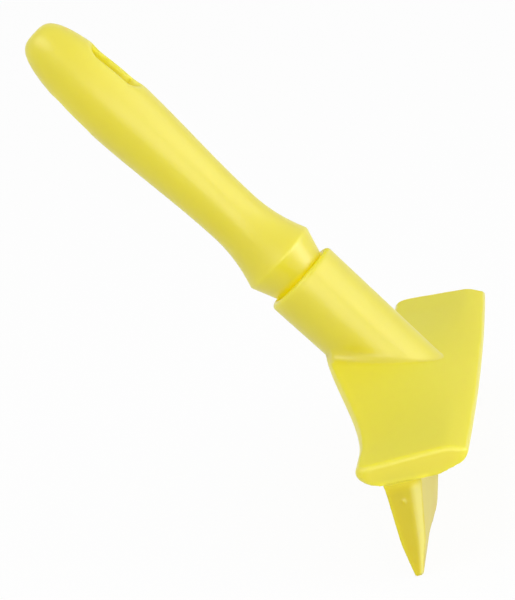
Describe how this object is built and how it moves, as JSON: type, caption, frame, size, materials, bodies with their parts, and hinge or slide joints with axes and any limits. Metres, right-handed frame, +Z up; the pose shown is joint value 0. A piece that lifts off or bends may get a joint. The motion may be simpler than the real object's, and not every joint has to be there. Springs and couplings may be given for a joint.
{
  "type": "hand squeegee",
  "caption": "One-piece hand squeegee head with a soft tapered wiping blade below it and a short grip with a hanging slot, screwed into a slanted socket.",
  "frame": {"origin": "middle of the blade's wiping edge", "axes": "+Z up from the wiping edge through the blade, +Y along the blade, +X towards the front of the head, away from the grip"},
  "size_m": [0.1504, 0.2494, 0.1981],
  "materials": {
    "body_plastic": "moulded yellow polypropylene, satin with soft gloss",
    "handle_plastic": "moulded yellow polypropylene, satin with soft gloss",
    "blade_rubber": "soft yellow thermoplastic rubber, smooth and slightly translucent"
  },
  "bodies": {
    "head": {"squeegee_body": "body_plastic"},
    "handle": {"mini_handle": "handle_plastic"},
    "blade": {"wiping_blade": "blade_rubber"}
  },
  "joints": [
    {"name": "handle_unscrew", "type": "slide", "parent": "head", "child": "handle", "axis": [-0.6018, 0, 0.7986], "range_m": [0, 0.036]},
    {"name": "blade_flex", "type": "hinge", "parent": "head", "child": "blade", "pos_m": [0, 0, 0.0253], "axis": [0, 1, 0], "range_deg": [-25, 25], "stiffness_Nm_per_rad": 2, "deforming": ["wiping_blade"]}
  ]
}
